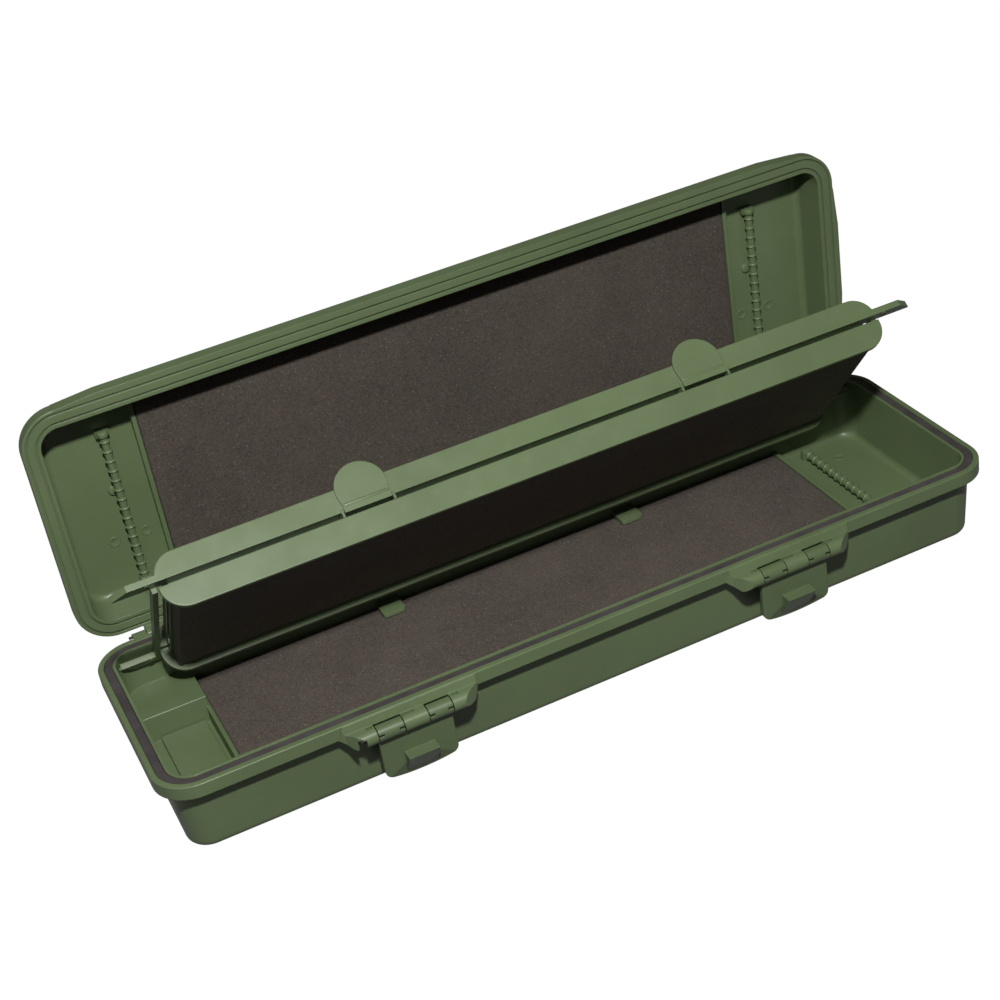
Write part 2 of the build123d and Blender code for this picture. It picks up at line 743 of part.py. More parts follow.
def make_latch(x):
    """A bow-edged plate that hangs from its pin, with a catch bar and a finger scoop on the near side."""
    half = latch_width / 2
    top = latch_z - latch_plate_start
    side_low = latch_z - latch_drop + latch_bow
    depth = latch_plate_thickness + latch_tip_curl
    outline = Polyline((x - half, side_low), (x - half, top), (x + half, top), (x + half, side_low))
    outline += ThreePointArc((x + half, side_low), (x, latch_z - latch_drop), (x - half, side_low))
    plane = Plane((0, latch_y + depth, 0), x_dir=(1, 0, 0), z_dir=(0, -1, 0))
    plate = extrude(plane * make_face(outline), depth)
    plate = fillet(plate.edges().filter_by(Axis.Y).group_by(Axis.Z)[0], latch_corner)
    plate = fillet(plate.faces().sort_by(Axis.Y)[0].edges(), latch_edge_round)

    # Side view of the plate: its near face is straight, and its back swells towards the tip
    back_y = latch_y + latch_plate_thickness
    scoop_z = latch_z - catch_drop - scoop_below_catch
    tip_z = latch_z - latch_drop
    section = Polyline((latch_y, tip_z - 1), (latch_y, top), (back_y, top), (back_y, scoop_z),
                       (back_y + latch_tip_curl, tip_z), (back_y + latch_tip_curl, tip_z - 1), close=True)
    plate &= Pos(x - half, 0, 0) * extrude(Plane.YZ * make_face(section), latch_width)
    lean = degrees(atan2(latch_tip_curl, scoop_z - tip_z))
    scoop = Pos(0, -latch_scoop_radius, 0) * Cylinder(latch_scoop_radius, 4 * latch_drop)
    plate -= Pos(x, latch_y, scoop_z) * Rot(lean, 0, 0) * scoop

    for x0, x1 in latch_knuckles:
        plate += rod_along_x(latch_y, latch_z, x + x0, x + x1, latch_barrel_radius)
        plate += box_between(x + x0, x + x1, latch_y, back_y, top - 1.0, latch_z)
        for edge in (x + x0, x + x1 - knuckle_notch_width):
            plate -= box_between(edge, edge + knuckle_notch_width, latch_y - latch_barrel_radius - 1,
                                 latch_y - latch_barrel_radius + knuckle_notch_depth,
                                 latch_z + knuckle_notch_low, latch_z + knuckle_notch_high)
    catch_z = latch_z - catch_drop
    foot_z = tip_z + catch_foot_rise
    catch_y = latch_y - catch_depth
    catch = Polyline((latch_y, catch_z), (catch_y, catch_z), (catch_y, catch_z - catch_lip),
                     (back_y + 0.3, foot_z), (back_y + latch_tip_curl / 2, foot_z),
                     (latch_y + 1.0, scoop_z), close=True)
    plate += Pos(x - catch_width / 2, 0, 0) * extrude(Plane.YZ * make_face(catch), catch_width)
    plate -= rod_along_x(latch_y, latch_z, x - half - 1, x + half + 1,
                         latch_pin_diameter / 2 + latch_clearance)
    return plate


def make_latch_pin(x):
    return rod_along_x(latch_y, latch_z, x - latch_pin_start, x + bracket_barrel[1] - 0.5,
                       latch_pin_diameter / 2)


nodes = {
    "base_shell": make_base_shell(),
    "rim_seal": make_rim_seal(),
    "base_foam": make_base_foam(),
    "pocket_plate": make_pocket_plate(),
    "base_rod": make_base_rod(),
    "hinge_pin_left": make_hinge_pin("left"),
    "hinge_pin_right": make_hinge_pin("right"),
    "latch_pin_left": make_latch_pin(latch_places[0]),
    "latch_pin_right": make_latch_pin(latch_places[1]),
    "pivot_pin_left": make_pivot_pin(-1),
    "pivot_pin_right": make_pivot_pin(1),
    "lid_shell": make_lid_shell(),
    "lid_foam": make_lid_foam(),
    "lid_rod_left": make_lid_rod(lid_rod_places[0]),
    "lid_rod_right": make_lid_rod(lid_rod_places[1]),
    "board_back_tray": make_board_back_tray(),
    "board_front_tray": make_board_front_tray(),
    "board_end_bar_left": make_end_bar(-1),
    "board_end_bar_right": make_end_bar(1),
    "board_foam_back": make_board_foam(seam_top, 1, back_foam_thickness),
    "board_foam_front": make_board_foam(seam_bottom, -1, front_foam_thickness),
    "thumb_tab_left": make_thumb_tab(tab_places[0]),
    "thumb_tab_right": make_thumb_tab(tab_places[1]),
    "latch_left": make_latch(latch_places[0]),
    "latch_right": make_latch(latch_places[1]),
}

for name, shape in nodes.items():
    export_step(shape, f"parts/{name}.step")
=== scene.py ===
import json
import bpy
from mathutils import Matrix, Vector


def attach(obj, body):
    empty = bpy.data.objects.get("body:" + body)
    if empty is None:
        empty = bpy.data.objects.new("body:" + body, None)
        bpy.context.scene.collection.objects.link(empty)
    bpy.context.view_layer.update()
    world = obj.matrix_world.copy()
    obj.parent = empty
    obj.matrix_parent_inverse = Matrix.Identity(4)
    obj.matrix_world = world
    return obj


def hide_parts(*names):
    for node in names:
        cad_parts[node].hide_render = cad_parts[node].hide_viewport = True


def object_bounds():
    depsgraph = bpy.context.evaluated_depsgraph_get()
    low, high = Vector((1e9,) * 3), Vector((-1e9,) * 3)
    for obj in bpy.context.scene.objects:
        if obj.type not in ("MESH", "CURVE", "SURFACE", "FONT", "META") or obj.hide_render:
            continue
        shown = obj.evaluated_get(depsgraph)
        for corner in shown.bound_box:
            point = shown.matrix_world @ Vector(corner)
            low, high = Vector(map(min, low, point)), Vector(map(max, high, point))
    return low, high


bl_info = {
    "name": "Fishing Rig Box",
    "version": (1, 0, 0),
    "blender": (4, 5, 0),
    "location": "View3D > Sidebar > Rig Box",
    "description": "Dresses the rig box with foam, ringed rods, moulded marks, plastic and light",
    "category": "Object",
}

from math import cos, pi, radians, sin, sqrt

import bmesh
import bpy
from bpy.props import FloatProperty, FloatVectorProperty, PointerProperty
from mathutils import Matrix, Vector, noise

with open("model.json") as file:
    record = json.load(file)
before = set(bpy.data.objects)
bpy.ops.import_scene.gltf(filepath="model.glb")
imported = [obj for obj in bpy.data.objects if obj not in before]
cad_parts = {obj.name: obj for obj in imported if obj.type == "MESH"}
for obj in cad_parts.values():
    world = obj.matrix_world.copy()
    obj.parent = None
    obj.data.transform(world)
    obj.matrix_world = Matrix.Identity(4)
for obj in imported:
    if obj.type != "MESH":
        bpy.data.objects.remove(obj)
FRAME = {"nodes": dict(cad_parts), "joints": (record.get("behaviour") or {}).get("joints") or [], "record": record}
CAD_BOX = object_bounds()
MM = 0.001


def joint_axis(name):
    """The point on a joint's axis, in metres."""
    for joint in FRAME["joints"]:
        if joint["name"] == name:
            return Vector(joint["pos_m"])
    raise ValueError("no joint named " + name)


def turn_about(point, degrees):
    """A turn about the line along X through a point."""
    turn = Matrix.Rotation(radians(degrees), 4, "X")
    return Matrix.Translation(point) @ turn @ Matrix.Translation(-point)


# Pieces are drawn as they lie when the box is shut, then turned to where the CAD shows them
LID_OPEN = turn_about(joint_axis("lid_hinge"), -90.0)
BOARD_OPEN = turn_about(joint_axis("board_hinge"), -50.45)
STILL = Matrix.Identity(4)

LATCHES = ("latch_left", "latch_right")
THUMB_TABS = ("thumb_tab_left", "thumb_tab_right")

# Places in millimetres with the box shut, from the middle of its foot
LID_MARKS = ((-163.1, 21.3), (-148.8, 21.1), (161.5, 21.2), (147.0, 21.2))
LID_BOSSES = ((-157.5, -2.8), (150.8, -1.7))
POCKET_MARKS = ((165.0, 30.0), (165.0, -36.0), (146.5, -36.0))
POCKET_FLOOR = 8.0
FOAM_CLIPS = (-61.2, 57.5)
FOAM_CLIP_ROW = 40.5
FOAM_CLIP_HALF = (5.0, 6.0)

# The board's seam over its pivots, and the foot of a thumb tab: its heights over the seam and
# how far it reaches before and behind the free edge of the tab
SEAM_RISE = 0.8
TAB_ROLL_HEIGHTS = (1.4, 3.2)
TAB_ROLL_REACH = (-0.25, 1.4)
# Marks under the ears: how far out along X, back from the board's free edge and over the seam
EAR_MARKS = ((166.7, 2.7, 0.0), (167.2, 89.2, -2.2))


class RigBoxSizes(bpy.types.PropertyGroup):
    """Sizes of the pieces that the scene adds."""

    foam_edge: FloatProperty(
        name="Foam Edge", description="Rounding of the cut edges of the foam",
        default=0.9 * MM, unit="LENGTH")
    foam_wave: FloatProperty(
        name="Foam Wave", description="How far the face of the foam dips in places",
        default=0.18 * MM, unit="LENGTH")
    foam_pitch: FloatProperty(
        name="Foam Pitch", description="Distance between the points of the face of the foam",
        default=4.0 * MM, unit="LENGTH")
    foam_dent: FloatProperty(
        name="Foam Dent", description="How deep a clip presses into the foam",
        default=0.25 * MM, unit="LENGTH")
    foam_dent_reach: FloatProperty(
        name="Foam Dent Reach", description="How far round a clip the foam is pressed down",
        default=3.0 * MM, unit="LENGTH")
    rod_core: FloatProperty(
        name="Rod Core", description="Diameter of a rod between its rings",
        default=3.3 * MM, unit="LENGTH")
    ring_outside: FloatProperty(
        name="Ring Diameter", description="Diameter over the rings of a rod",
        default=4.4 * MM, unit="LENGTH")
    ring_width: FloatProperty(
        name="Ring Width", description="Width of a ring along its rod",
        default=0.95 * MM, unit="LENGTH")
    ring_pitch: FloatProperty(
        name="Ring Pitch", description="Distance from ring to ring",
        default=4.65 * MM, unit="LENGTH")
    base_rod_length: FloatProperty(
        name="Base Rod Length", description="Length of the ringed part of the base's rod",
        default=74.0 * MM, unit="LENGTH")
    lid_rod_length: FloatProperty(
        name="Lid Rod Length", description="Length of the ringed part of a rod in the lid",
        default=69.4 * MM, unit="LENGTH")
    rod_tail: FloatProperty(
        name="Rod Tail", description="Length of the tail beyond the ringed part of a rod",
        default=1.6 * MM, unit="LENGTH")
    rod_neck: FloatProperty(
        name="Rod Neck", description="Diameter of the tail of a rod",
        default=2.2 * MM, unit="LENGTH")
    cap_size: FloatProperty(
        name="Cap Diameter", description="Diameter of the cap at the top of a lid rod",
        default=4.8 * MM, unit="LENGTH")
    cap_length: FloatProperty(
        name="Cap Length", description="Length of the cap at the top of a lid rod",
        default=2.6 * MM, unit="LENGTH")
    cap_edge: FloatProperty(
        name="Cap Edge", description="Rounding of the edges of the cap",
        default=0.5 * MM, unit="LENGTH")
    mark_size: FloatProperty(
        name="Mark Diameter", description="Diameter of the round marks the mould leaves",
        default=5.0 * MM, unit="LENGTH")
    mark_proud: FloatProperty(
        name="Mark Height", description="How far the rim of a mould mark stands out",
        default=0.18 * MM, unit="LENGTH")
    ear_mark_size: FloatProperty(
        name="Ear Mark Width", description="Width of the oval marks under the ears of the board",
        default=2.4 * MM, unit="LENGTH")
    ear_mark_proud: FloatProperty(
        name="Ear Mark Height", description="How far the rim of an oval mark stands out",
        default=0.3 * MM, unit="LENGTH")
    boss_size: FloatProperty(
        name="Boss Diameter", description="Diameter of the boss beside a lid rod",
        default=4.2 * MM, unit="LENGTH")
    boss_height: FloatProperty(
        name="Boss Height", description="Height of the boss beside a lid rod",
        default=1.1 * MM, unit="LENGTH")
    tab_roll_width: FloatProperty(
        name="Tab Roll Width", description="Width of the rolled foot of a thumb tab",
        default=20.0 * MM, unit="LENGTH")
    tab_roll_radius: FloatProperty(
        name="Tab Roll Radius", description="Rounding of the rolled foot of a thumb tab",
        default=0.8 * MM, unit="LENGTH")


class RigBoxFinish(bpy.types.PropertyGroup):
    """Colours and grain of the materials."""

    plastic: FloatVectorProperty(
        name="Plastic", description="Colour of the moulded plastic",
        subtype="COLOR", size=3, min=0.0, max=1.0, default=(0.118, 0.162, 0.076))
    # Painted shade: the latches get a darker copy of the plastic, standing in for the shadow they lie in under
    # their hinge barrels
    latch_painted_shade: FloatProperty(
        name="Latch Tone", description="How dark the plastic of the latches is beside the rest",
        default=0.84, min=0.0)
    plastic_grain: FloatProperty(
        name="Plastic Grain", description="Size of the grain of the plastic",
        default=0.45 * MM, unit="LENGTH")
    plastic_edge: FloatProperty(
        name="Plastic Edge", description="How softly the edges of the plastic catch the light",
        default=0.45 * MM, unit="LENGTH")
    foam_dark: FloatVectorProperty(
        name="Foam Dark", description="Colour of the dark flecks of the foam",
        subtype="COLOR", size=3, min=0.0, max=1.0, default=(0.024, 0.021, 0.018))
    foam_light: FloatVectorProperty(
        name="Foam Light", description="Colour of the light flecks of the foam",
        subtype="COLOR", size=3, min=0.0, max=1.0, default=(0.132, 0.111, 0.090))
    foam_warm: FloatVectorProperty(
        name="Foam Brown", description="Colour of the brown flecks of the foam",
        subtype="COLOR", size=3, min=0.0, max=1.0, default=(0.122, 0.088, 0.066))
    foam_speck: FloatVectorProperty(
        name="Foam Speck", description="Colour of the rare pale specks in the foam",
        subtype="COLOR", size=3, min=0.0, max=1.0, default=(0.30, 0.27, 0.25))
    foam_fleck: FloatProperty(
        name="Foam Fleck", description="Size of the flecks of the foam",
        default=0.5 * MM, unit="LENGTH")
    lid_foam_lift: FloatProperty(
        name="Lid Foam Lift", description="How pale the lid's foam is beside the base's",
        default=0.88, min=0.0)
    # Painted light: the board's foam is a paler copy of the same foam, standing in for the bounce light on its
    # shaded, downward face
    board_foam_painted_light: FloatProperty(
        name="Board Foam Lift", description="How much paler the board's foam is than the flat pads",
        default=1.3, min=0.0)
    seal: FloatVectorProperty(
        name="Seal", description="Colour of the rubber seal",
        subtype="COLOR", size=3, min=0.0, max=1.0, default=(0.060, 0.052, 0.052))
    steel: FloatVectorProperty(
        name="Steel", description="Colour of the pins",
        subtype="COLOR", size=3, min=0.0, max=1.0, default=(0.17, 0.16, 0.155))


class RigBoxStage(bpy.types.PropertyGroup):
    """Camera, lamps and floor."""

    camera_place: FloatVectorProperty(
        name="Camera Place", description="Where the camera stands",
        subtype="TRANSLATION", size=3, default=(-0.241445, -0.630307, 0.485184))
    camera_turn: FloatVectorProperty(
        name="Camera Turn", description="How the camera is turned",
        subtype="EULER", size=3,
        default=(radians(57.949787), radians(8.655225), radians(-25.0106)))
    camera_lens: FloatProperty(
        name="Lens", description="Focal length for a 36 mm wide frame, in millimetres",
        default=68.4216, min=10.0)
    key_place: FloatVectorProperty(
        name="Key Place", description="Where the main lamp hangs",
        subtype="TRANSLATION", size=3, default=(-0.17, -0.54, 0.72))
    key_power: FloatProperty(
        name="Key Power", description="Power of the main lamp",
        default=8.2, min=0.0, unit="POWER")
    key_size: FloatProperty(
        name="Key Size", description="Diameter of the main lamp, small for hard shadows",
        default=0.05, unit="LENGTH")
    fill_place: FloatVectorProperty(
        name="Fill Place", description="Where the lamp on the left hangs",
        subtype="TRANSLATION", size=3, default=(-0.75, -0.45, 0.55))
    fill_power: FloatProperty(
        name="Fill Power", description="Power of the lamp on the left",
        default=0.45, min=0.0, unit="POWER")
    fill_size: FloatProperty(
        name="Fill Size", description="Diameter of the lamp on the left",
        default=0.5, unit="LENGTH")
    lamp_aim: FloatVectorProperty(
        name="Lamp Aim", description="The point that both lamps look at",
        subtype="TRANSLATION", size=3, default=(0.0, 0.0, 0.05))
    sky: FloatProperty(
        name="Sky", description="Strength of the light from all round", default=0.045, min=0.0)
    floor_glow: FloatProperty(
        name="Floor Glow", description="What the camera sees added to the floor to make it white",
        default=1.0, min=0.0)
    floor_in_gloss: FloatProperty(
        name="Floor In Gloss", description="How much of the white floor the glossy surfaces mirror",
        default=0.22, min=0.0)
    floor_radius: FloatProperty(
        name="Floor Radius", description="Radius of the white floor",
        default=6.0, unit="LENGTH")
    floor_drop: FloatProperty(
        name="Floor Drop", description="How far the floor lies under the box",
        default=0.2 * MM, unit="LENGTH")


# Shader maths

class Value:
    """The output of a shader node. Sums and products of values add Math nodes."""

    def __init__(self, recipe, socket):
        self.recipe = recipe
        self.socket = socket

    def math(self, operation, first, second):
        return self.recipe.add("ShaderNodeMath", {"operation": operation}, (first, second))

    def __add__(self, other):
        return self.math("ADD", self, other)

    def __mul__(self, other):
        return self.math("MULTIPLY", self, other)


class Recipe:
    """The node tree of one material."""

    def __init__(self, name):
        self.material = bpy.data.materials.new(name)
        self.material.use_nodes = True
        self.nodes = self.material.node_tree.nodes
        self.links = self.material.node_tree.links
        self.nodes.clear()
        self.place = self.add("ShaderNodeTexCoord", output="Object")

    def add(self, kind, settings=None, inputs=(), output=0):
        """Adds a node: its settings first, then the values or links of its sockets."""
        node = self.nodes.new(kind)
        for name, value in (settings or {}).items():
            setattr(node, name, value)
        pairs = inputs.items() if isinstance(inputs, dict) else enumerate(inputs)
        for key, value in pairs:
            if isinstance(value, Value):
                self.links.new(value.socket, node.inputs[key])
            else:
                node.inputs[key].default_value = value
        return Value(self, node.outputs[output])

    def noise(self, size, detail=2.0, roughness=0.5, at=None):
        """Noise whose lumps are about a given size in metres."""
        return self.add("ShaderNodeTexNoise", None, {
            "Vector": at or self.place, "Scale": 1.0 / size,
            "Detail": detail, "Roughness": roughness})

    def spread(self, value, low, high, out_low=0.0, out_high=1.0):
        """Maps a value from one range to another and keeps it there."""
        return self.add("ShaderNodeMapRange", None, {
            "Value": value, "From Min": low, "From Max": high,
            "To Min": out_low, "To Max": out_high})

    def blend(self, factor, first, second):
        """A colour between two colours."""
        return self.add("ShaderNodeMix", {"data_type": "RGBA"},
                        {0: factor, 6: colour_of(first), 7: colour_of(second)}, output=2)

    def bump(self, height, distance, strength, onto=None):
        """A normal tilted by a height, on top of another normal if one is given."""
        inputs = {"Height": height, "Distance": distance, "Strength": strength}
        if onto is not None:
            inputs["Normal"] = onto
        return self.add("ShaderNodeBump", None, inputs)

    def finish(self, **inputs):
        """The surface itself, and the material's output."""
        sockets = {name.replace("_", " "): value for name, value in inputs.items()}
        surface = self.add("ShaderNodeBsdfPrincipled", None, sockets)
        self.add_output(surface)
        return self.material

    def add_output(self, surface):
        node = self.nodes.new("ShaderNodeOutputMaterial")
        self.links.new(surface.socket, node.inputs["Surface"])


def colour_of(value):
    """A colour for a socket: a linked value as it is, or three channels made opaque."""
    return value if isinstance(value, Value) else (*value, 1.0)


def tint(colour, factor):
    """A lighter or darker copy of a colour."""
    return tuple(min(1.0, channel * factor) for channel in colour)


# Materials

def moulded_plastic(finish, name, tone):
    """Olive plastic: a faint unevenness in its tone and gloss, fine grain and pale scuffs."""
    recipe = Recipe(name)
    # tone scales a copy of the plastic; below 1 it is painted shade, as on the latches
    plastic = tint(finish.plastic, tone)

    # Colour: broad clouds, then small scuffs
    clouds = recipe.noise(45.0 * MM, 3.0)
    shade = recipe.spread(clouds, 0.35, 0.65)
    base = recipe.blend(shade, tint(plastic, 0.93), tint(plastic, 1.06))
    grain = recipe.noise(finish.plastic_grain, 2.0, 0.6)
    scuffs = recipe.spread(recipe.noise(6.0 * MM, 5.0, 0.7), 0.55, 0.75)
    colour = recipe.blend(scuffs * 0.10, base, tint(plastic, 1.5))

    # Gloss, and edges softened under the grain of the mould
    rough = recipe.spread(recipe.noise(12.0 * MM, 3.0), 0.3, 0.7, 0.32, 0.42) + scuffs * 0.06
    edges = recipe.add("ShaderNodeBevel", {"samples": 4}, {"Radius": finish.plastic_edge})
    normal = recipe.bump(grain, 0.05 * MM, 0.35, onto=edges)
    return recipe.finish(Base_Color=colour, Roughness=rough, Normal=normal,
                         Specular_IOR_Level=0.5)


def flecked_foam(finish, name, lift):
    """Closed-cell foam: a fine brown and dark grain with a few pale specks, slightly cloudy."""
    recipe = Recipe(name)
    # lift scales every fleck colour alike; on the board's pad it is painted light, a paler copy for the bounce
    # light on its shaded face
    dark, light, warm, speck = (
        tint(colour, lift) for colour in
        (finish.foam_dark, finish.foam_light, finish.foam_warm, finish.foam_speck))

    # Dark and light grain: one random shade per cell, broken up by noise, over wide clouds
    cells = recipe.add("ShaderNodeTexVoronoi", None, {
        "Vector": recipe.place, "Scale": 1.0 / finish.foam_fleck, "Randomness": 1.0},
        output="Color")
    shade = recipe.add("ShaderNodeSeparateColor", None, (cells,))
    warmth = Value(recipe, shade.socket.node.outputs[1])
    grain = recipe.noise(0.30 * MM, 3.0, 0.7)
    mixed = recipe.spread(shade * 0.5 + recipe.spread(grain, 0.3, 0.7) * 0.5, 0.0, 1.0)
    clouds = recipe.spread(recipe.noise(30.0 * MM, 4.0, 0.6), 0.3, 0.7, -0.10, 0.12)
    colour = recipe.blend(mixed + clouds, dark, light)

    # Brown cells, and pale specks about 2.3 mm apart
    colour = recipe.blend(recipe.spread(warmth, 0.55, 1.0, 0.0, 0.5), colour, warm)
    rare = recipe.add("ShaderNodeTexVoronoi", None, {
        "Vector": recipe.place, "Scale": 1.0 / (2.3 * MM)})
    specks = recipe.spread(rare, 0.06, 0.15, 1.0, 0.0)
    colour = recipe.blend(specks * 0.6, colour, speck)
    normal = recipe.bump(grain + shade * 0.5, 0.10 * MM, 0.45)
    return recipe.finish(Base_Color=colour, Roughness=0.8, Normal=normal,
                         Specular_IOR_Level=0.25, Sheen_Weight=0.08, Sheen_Roughness=0.5)


def soft_seal(finish):
    """Matte rubber with a faint skin."""
    recipe = Recipe("soft_seal")
    clouds = recipe.spread(recipe.noise(10.0 * MM, 3.0), 0.35, 0.65)
    colour = recipe.blend(clouds, tint(finish.seal, 0.85), tint(finish.seal, 1.2))
    normal = recipe.bump(recipe.noise(0.3 * MM, 2.0), 0.04 * MM, 0.4)
    return recipe.finish(Base_Color=colour, Roughness=0.62, Normal=normal,
                         Specular_IOR_Level=0.4)


def pin_steel(finish):
    """Drawn wire, with fine lines along it."""
    recipe = Recipe("pin_steel")
    stretched = recipe.add("ShaderNodeMapping", {"vector_type": "POINT"},
                           {"Vector": recipe.place, "Scale": (0.05, 1.0, 1.0)})
    lines = recipe.noise(0.12 * MM, 2.0, 0.6, at=stretched)
    colour = recipe.blend(recipe.spread(lines, 0.3, 0.7),
                          tint(finish.steel, 0.85), tint(finish.steel, 1.1))
    normal = recipe.bump(lines, 0.01 * MM, 0.5)
    rough = recipe.spread(lines, 0.3, 0.7, 0.28, 0.42)
    return recipe.finish(Base_Color=colour, Roughness=rough, Normal=normal, Metallic=1.0)


# Mesh helpers

def new_piece(name, mesh, body, material, sharp, replaces=()):
    """Links a mesh as a piece that rides on a body, smooth but for edges over an angle."""
    piece = bpy.data.objects.new(name, mesh)
    bpy.context.scene.collection.objects.link(piece)
    piece.data.materials.clear()
    piece.data.materials.append(material)
    piece.data.shade_smooth()
    piece.data.set_sharp_from_angle(angle=radians(sharp))
    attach(piece, body)
    if replaces:
        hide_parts(*replaces)
    return piece


def mesh_from(name, bm, place):
    """Turns a bmesh into a mesh in its place, with its faces outwards."""
    bmesh.ops.transform(bm, matrix=place, verts=bm.verts)
    bmesh.ops.recalc_face_normals(bm, faces=bm.faces)
    mesh = bpy.data.meshes.new(name)
    bm.to_mesh(mesh)
    bm.free()
    return mesh


def rounded_box(bm, low, high, radius, segments):
    """Adds a box with rounded edges to a bmesh."""
    size = Vector(high) - Vector(low)
    middle = (Vector(high) + Vector(low)) / 2
    verts = bmesh.ops.create_cube(bm, size=1.0)["verts"]
    bmesh.ops.scale(bm, vec=size, verts=verts)
    bmesh.ops.translate(bm, vec=middle, verts=verts)
    edges = list({edge for vert in verts for edge in vert.link_edges})
    bmesh.ops.bevel(bm, geom=edges, offset=radius, segments=segments, profile=0.5,
                    affect="EDGES", clamp_overlap=True)


def lathe(bm, profile, place, steps=32):
    """Adds a closed round form to a bmesh: profile is (radius, height) pairs from axis to axis."""
    rings = []
    for radius, height in profile:
        count = steps if radius else 1
        turns = [2 * pi * k / steps for k in range(count)]
        rings.append([bm.verts.new(place @ Vector((radius * cos(turn), radius * sin(turn), height)))
                      for turn in turns])
    for lower, upper in zip(rings, rings[1:]):
        for k in range(steps):
            corners = (lower[k % len(lower)], lower[(k + 1) % len(lower)],
                       upper[(k + 1) % len(upper)], upper[k % len(upper)])
            corners = list(dict.fromkeys(corners))
            if len(corners) > 2:
                bm.faces.new(corners)


def node_box(node, opened=STILL):
    """The box of a CAD node, laid back to how it lies when the box is shut."""
    back = opened.inverted()
    points = [back @ vert.co for vert in FRAME["nodes"][node].data.vertices]
    low = Vector(min(point[axis] for point in points) for axis in range(3))
    high = Vector(max(point[axis] for point in points) for axis in range(3))
    return low, high


# Foam

def steps_across(low, high, edge, pitch):
    """Places across a pad: close together at its rounded edges and even between them."""
    rounds = [edge * part for part in (0.0, 0.12, 0.3, 0.6, 1.0)]
    count = max(2, round((high - low - 2 * edge) / pitch))
    inner = [low + edge + (high - low - 2 * edge) * k / count for k in range(1, count)]
    return [low + r for r in rounds] + inner + [high - r for r in reversed(rounds)]


def wave_at(x, y, seed):
    """The unevenness of a pad at a place: slow waves, and half as high ones that are quicker."""
    slow, quick = 30.0 * MM, 11.0 * MM
    wave = noise.noise(Vector((x / slow, y / slow, seed)))
    return wave + 0.5 * noise.noise(Vector((x / quick, y / quick, seed + 7.0)))


def foam_mesh(name, low, high, up, sizes, opened, seed, dents=()):
    """A cut foam pad with soft edges, a slightly uneven face and dents where clips press on it."""
    edge = sizes.foam_edge
    xs = steps_across(low.x, high.x, edge, sizes.foam_pitch)
    ys = steps_across(low.y, high.y, edge, sizes.foam_pitch)
    top, bottom = (high.z, low.z) if up > 0 else (low.z, high.z)
    bm = bmesh.new()

    def drop(x, y):
        """How far the face lies under the highest point of the pad."""
        near = min(x - low.x, high.x - x, y - low.y, high.y - y)
        fall = 0.0
        if near < edge:
            fall = edge - sqrt(max(0.0, edge ** 2 - (edge - near) ** 2))
        fall += sizes.foam_wave * (0.5 + 0.4 * wave_at(x, y, seed))
        for dent_x, dent_y, half_x, half_y, depth in dents:
            away = max(abs(x - dent_x) - half_x, abs(y - dent_y) - half_y, 0.0)
            fall += depth * max(0.0, 1.0 - away / sizes.foam_dent_reach) ** 2
        return fall

    upper = [[bm.verts.new((x, y, top - up * drop(x, y))) for y in ys] for x in xs]
    lower = [[bm.verts.new((x, y, bottom)) for y in (ys[0], ys[-1])] for x in xs]
    for i in range(len(xs) - 1):
        for j in range(len(ys) - 1):
            bm.faces.new((upper[i][j], upper[i + 1][j], upper[i + 1][j + 1], upper[i][j + 1]))
        # The two long sides and the underside
        bm.faces.new((upper[i][0], lower[i][0], lower[i + 1][0], upper[i + 1][0]))
        bm.faces.new((upper[i][-1], upper[i + 1][-1], lower[i + 1][1], lower[i][1]))
        bm.faces.new((lower[i][0], lower[i][1], lower[i + 1][1], lower[i + 1][0]))
    for i in (0, -1):
        bm.faces.new(upper[i] + [lower[i][1], lower[i][0]])
    return mesh_from(name, bm, opened)


class RIGBOX_OT_foam(bpy.types.Operator):
    """Makes the foam pads of the base, the lid and the board"""

    bl_idname = "rigbox.foam"
    bl_label = "Foam Pads"

    def execute(self, context):
        sizes = context.scene.rig_box_sizes
        finish = context.scene.rig_box_finish
        base_foam = flecked_foam(finish, "base_foam", 1.0)
        lid_foam = flecked_foam(finish, "lid_foam", finish.lid_foam_lift)
        # The board's pad is painted light: a paler copy of the foam for the bounce light on its shaded face
        board_foam = flecked_foam(finish, "board_foam", finish.board_foam_painted_light)
        half_x, half_y = FOAM_CLIP_HALF
        clips = [(x * MM, FOAM_CLIP_ROW * MM, half_x * MM, half_y * MM, sizes.foam_dent)
                 for x in FOAM_CLIPS]
        # Node, body, pose, side that shows, dents, material, fill
        pads = (
            ("base_foam", "base", STILL, 1, clips, base_foam, 0.92),
            ("lid_foam", "lid", LID_OPEN, -1, (), lid_foam, 0.95),
            ("board_foam_front", "board", BOARD_OPEN, -1, (), board_foam, 0.95),
            ("board_foam_back", "board", BOARD_OPEN, 1, (), board_foam, 0.95),
        )
        for seed, (node, body, opened, up, dents, foam, fill) in enumerate(pads):
            low, high = node_box(node, opened)
            mesh = foam_mesh(node + "_pad", low, high, up, sizes, opened, 3.0 * seed, dents)
            piece = new_piece(node + "_pad", mesh, body, foam, 50, (node,))
        return {"FINISHED"}


# Ringed rods

